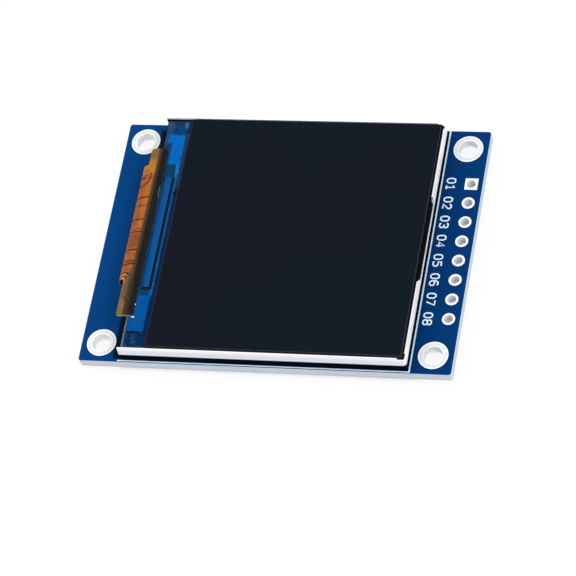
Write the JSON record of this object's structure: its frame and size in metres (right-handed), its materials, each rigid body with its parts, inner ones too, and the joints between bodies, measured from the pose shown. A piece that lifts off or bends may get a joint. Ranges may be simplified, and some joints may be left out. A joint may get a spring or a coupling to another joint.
{
  "type": "tft display module",
  "caption": "Small square colour display on a blue circuit board with a row of header holes and a mounting hole at each corner.",
  "frame": {"origin": "centre of the four-hole mounting pattern on the underside of the board", "axes": "+X towards the header holes, +Y towards the first (square) header pad's end, +Z out of the screen"},
  "size_m": [0.0438, 0.032, 0.0052],
  "materials": {
    "board_mask": "glossy blue solder mask on glass-fibre laminate",
    "tin_plating": "satin tin",
    "black_foam": "matt foam tape",
    "tray_metal": "bright folded sheet",
    "frame_plastic": "matt black moulding",
    "white_film": "matt white film",
    "clear_acrylic": "clear optical sheet",
    "black_tape": "matt black tape",
    "led_strip_film": "white flexible strip",
    "led_package": "white lamp housing",
    "polarizer": "near-black satin film",
    "cell_glass": "clear ground-edge glass",
    "chip_silicon": "polished silicon",
    "blue_coating": "bright blue protective coating",
    "amber_film": "amber polyimide over copper",
    "package_plastic": "matt black moulding",
    "lead_tin": "tinned metal",
    "capacitor_ceramic": "tan ceramic",
    "resistor_body": "black glaze over ceramic"
  },
  "bodies": {
    "root": {"board": "board_mask", "mounting_ring_1": "tin_plating", "mounting_ring_2": "tin_plating", "mounting_ring_3": "tin_plating", "mounting_ring_4": "tin_plating", "header_pad_1": "tin_plating", "header_pad_2": "tin_plating", "header_pad_3": "tin_plating", "header_pad_4": "tin_plating", "header_pad_5": "tin_plating", "header_pad_6": "tin_plating", "header_pad_7": "tin_plating", "header_pad_8": "tin_plating", "flex_lands": "tin_plating", "back_lands": "tin_plating", "foam_seat": "black_foam", "backlight_tray": "tray_metal", "moulded_frame": "frame_plastic", "reflector_film": "white_film", "diffuser_film": "white_film", "light_guide": "clear_acrylic", "lower_prism_film": "clear_acrylic", "upper_prism_film": "clear_acrylic", "rim_tape": "black_tape", "led_strip": "led_strip_film", "led_1": "led_package", "led_2": "led_package", "led_3": "led_package", "rear_polarizer": "polarizer", "front_polarizer": "polarizer", "array_glass": "cell_glass", "filter_glass": "cell_glass", "driver_chip": "chip_silicon", "ledge_coating": "blue_coating", "display_flex": "amber_film", "regulator": "package_plastic", "backlight_transistor": "package_plastic", "regulator_leads": "lead_tin", "backlight_transistor_leads": "lead_tin", "capacitor_1_ends": "lead_tin", "capacitor_2_ends": "lead_tin", "capacitor_3_ends": "lead_tin", "capacitor_4_ends": "lead_tin", "resistor_1_ends": "lead_tin", "resistor_2_ends": "lead_tin", "resistor_3_ends": "lead_tin", "capacitor_1": "capacitor_ceramic", "capacitor_2": "capacitor_ceramic", "capacitor_3": "capacitor_ceramic", "capacitor_4": "capacitor_ceramic", "resistor_1": "resistor_body", "resistor_2": "resistor_body", "resistor_3": "resistor_body"}
  },
  "joints": []
}
